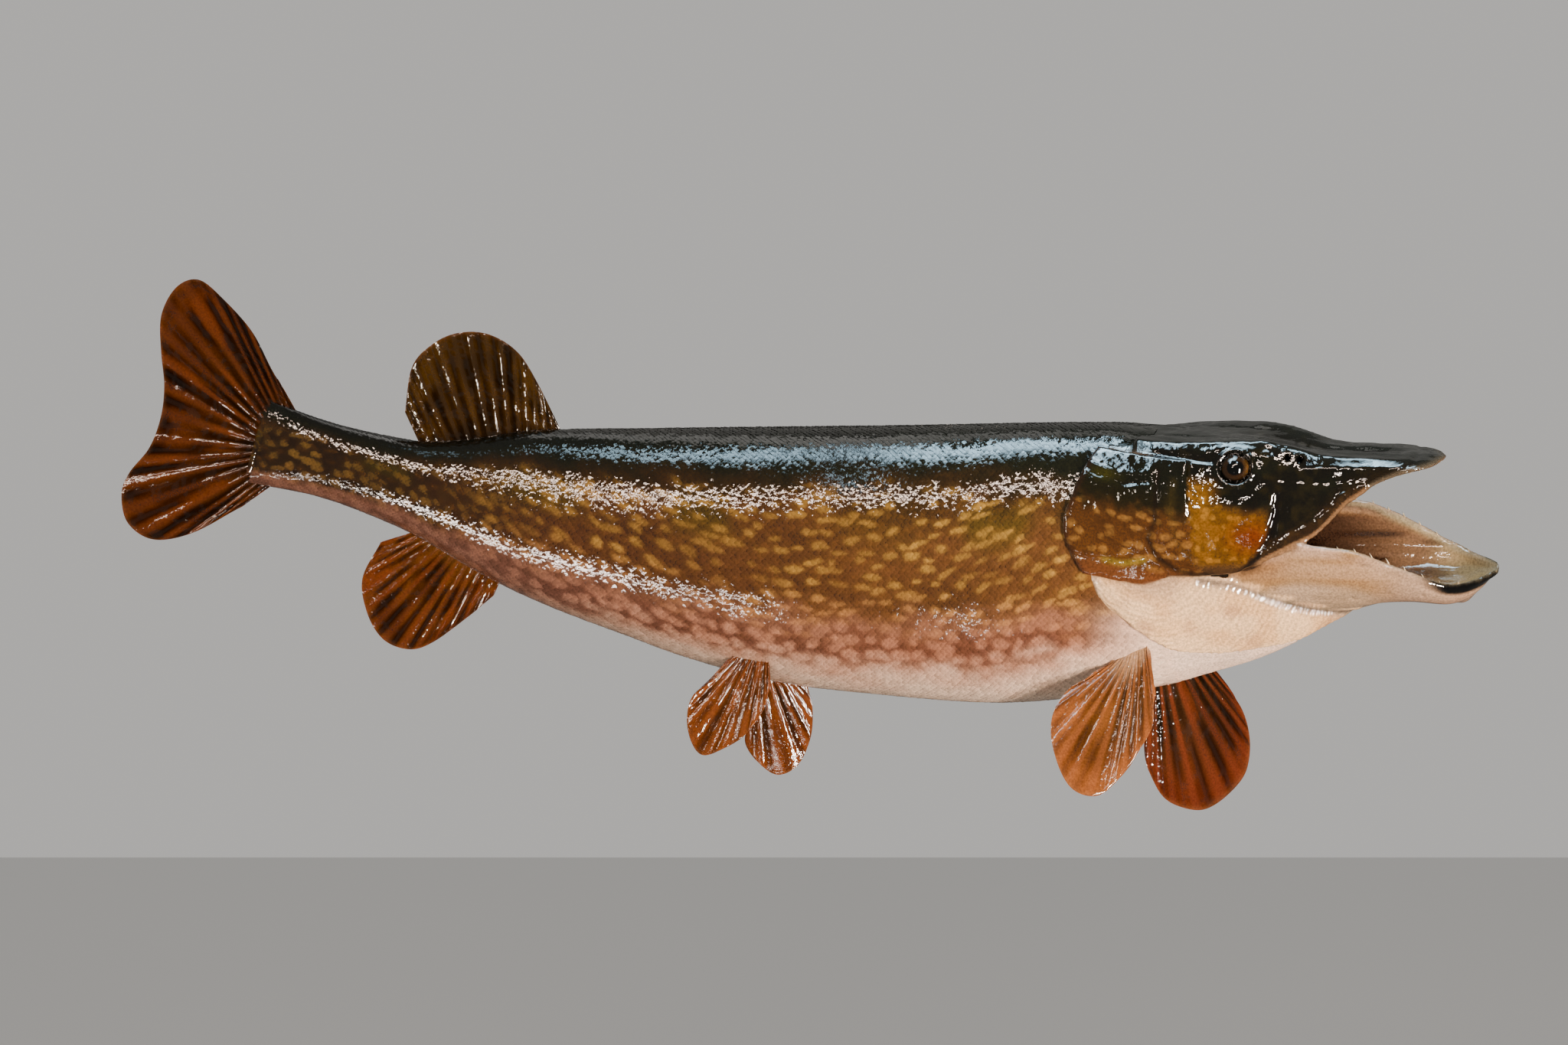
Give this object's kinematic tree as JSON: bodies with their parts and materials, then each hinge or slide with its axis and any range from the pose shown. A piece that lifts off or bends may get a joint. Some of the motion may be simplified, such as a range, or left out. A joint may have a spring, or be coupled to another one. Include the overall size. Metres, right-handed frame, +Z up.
{
  "type": "mounted pike",
  "caption": "Northern pike mounted for a wall in a gentle C curve, mouth gaping, fins spread, carried by a wooden block let into its hidden flank.",
  "frame": {"origin": "middle of the wooden block's rear face, which lies flat on the wall", "axes": "+X to the fish's head along the wall, +Y into the wall, +Z up"},
  "size_m": [1.0004, 0.2405, 0.4045],
  "materials": {
    "fish_skin": "painted fish skin under a thick wet-look clear lacquer",
    "fin": "painted fin under clear lacquer, ridged by its rays",
    "eye_glass": "polished glass eye with a gold iris and black pupil",
    "block_wood": "planed softwood, unvarnished",
    "hanger_steel": "zinc-plated steel"
  },
  "bodies": {
    "root": {"head": "fish_skin", "lower_jaw": "fish_skin", "gill_cover_right": "fish_skin", "gill_cover_left": "fish_skin", "gill_membrane_right": "fish_skin", "gill_membrane_left": "fish_skin", "trunk_front": "fish_skin", "trunk_rear": "fish_skin", "tail": "fish_skin", "eye_right": "eye_glass", "eye_left": "eye_glass", "dorsal_fin": "fin", "anal_fin": "fin", "caudal_fin": "fin", "pectoral_fin_right": "fin", "pectoral_fin_left": "fin", "pelvic_fin_right": "fin", "pelvic_fin_left": "fin", "back_block": "block_wood", "hanger_plate": "hanger_steel", "hanger_screw_left": "hanger_steel", "hanger_screw_right": "hanger_steel"}
  },
  "joints": []
}
